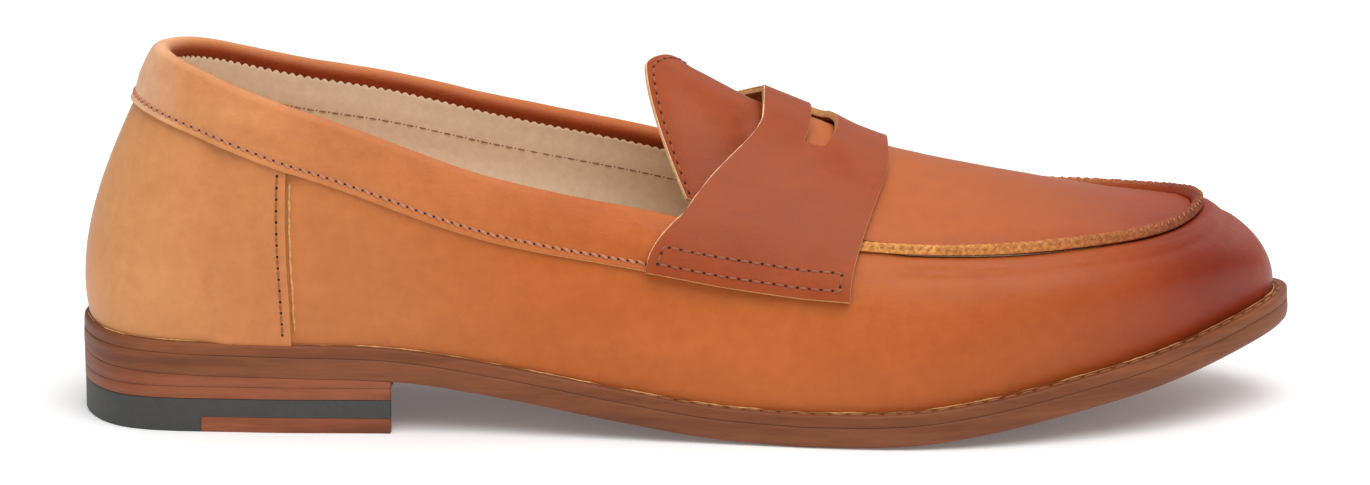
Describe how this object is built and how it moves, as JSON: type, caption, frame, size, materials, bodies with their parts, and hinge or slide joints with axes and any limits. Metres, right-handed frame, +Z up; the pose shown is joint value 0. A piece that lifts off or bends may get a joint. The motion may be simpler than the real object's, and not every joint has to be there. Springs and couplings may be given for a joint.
{
  "type": "penny loafer",
  "caption": "Slip-on leather shoe for the right foot with a raised moccasin seam, a slotted saddle strap, a short tongue and a low stacked heel.",
  "frame": {"origin": "on the floor, under the middle of the sole's plan box", "axes": "+X to the toe, +Y to the inner (medial) side, +Z up"},
  "size_m": [0.301, 0.1, 0.0911],
  "materials": {
    "sole_leather": "burnished sole edge, brown",
    "rand_leather": "golden brown, stitched",
    "insole_leather": "plain vegetable-tanned",
    "lining_leather": "matt beige calf lining",
    "cork": "stands in for cork filler",
    "steel": "tempered steel strip",
    "heel_leather": "stacked, edge-dyed",
    "rubber": "dark grey moulded rubber",
    "brass": "nail heads",
    "counter_leather": "light tan, semi-gloss",
    "vamp_leather": "orange-brown burnished to red-brown at the toe",
    "collar_leather": "tan, soft",
    "foam": "thin foam",
    "strap_leather": "red-brown, glossy",
    "lining_cloth": "woven cotton drill",
    "stiffener_board": "impregnated board",
    "thread": "brown waxed thread",
    "sole_thread": "waxed linen"
  },
  "bodies": {
    "shoe": {"outsole": "sole_leather", "rand": "rand_leather", "insole": "insole_leather", "sock_liner": "lining_leather", "cork_filler": "cork", "heel_filler": "cork", "shank": "steel", "heel_lift_upper": "heel_leather", "heel_lift_lower": "heel_leather", "top_piece": "rubber", "top_piece_insert": "heel_leather", "heel_nails": "brass", "counter": "counter_leather", "vamp": "vamp_leather", "collar": "collar_leather", "collar_padding": "foam", "strap": "strap_leather", "apron": "vamp_leather", "quarter_lining": "lining_leather", "vamp_lining": "lining_cloth", "heel_stiffener": "stiffener_board", "toe_puff": "stiffener_board", "collar_stitching": "thread", "counter_stitching": "thread", "strap_stitching": "thread", "apron_stitching": "thread", "sole_stitching": "sole_thread"},
    "tongue_flap": {"tongue": "strap_leather", "tongue_lining": "lining_leather", "tongue_stitching": "thread"}
  },
  "joints": [
    {"name": "tongue_flex", "type": "hinge", "parent": "shoe", "child": "tongue_flap", "pos_m": [0.024, -0.0005, 0.0724], "axis": [0, 1, 0], "range_deg": [-12, 8], "stiffness_Nm_per_rad": 0.05}
  ]
}
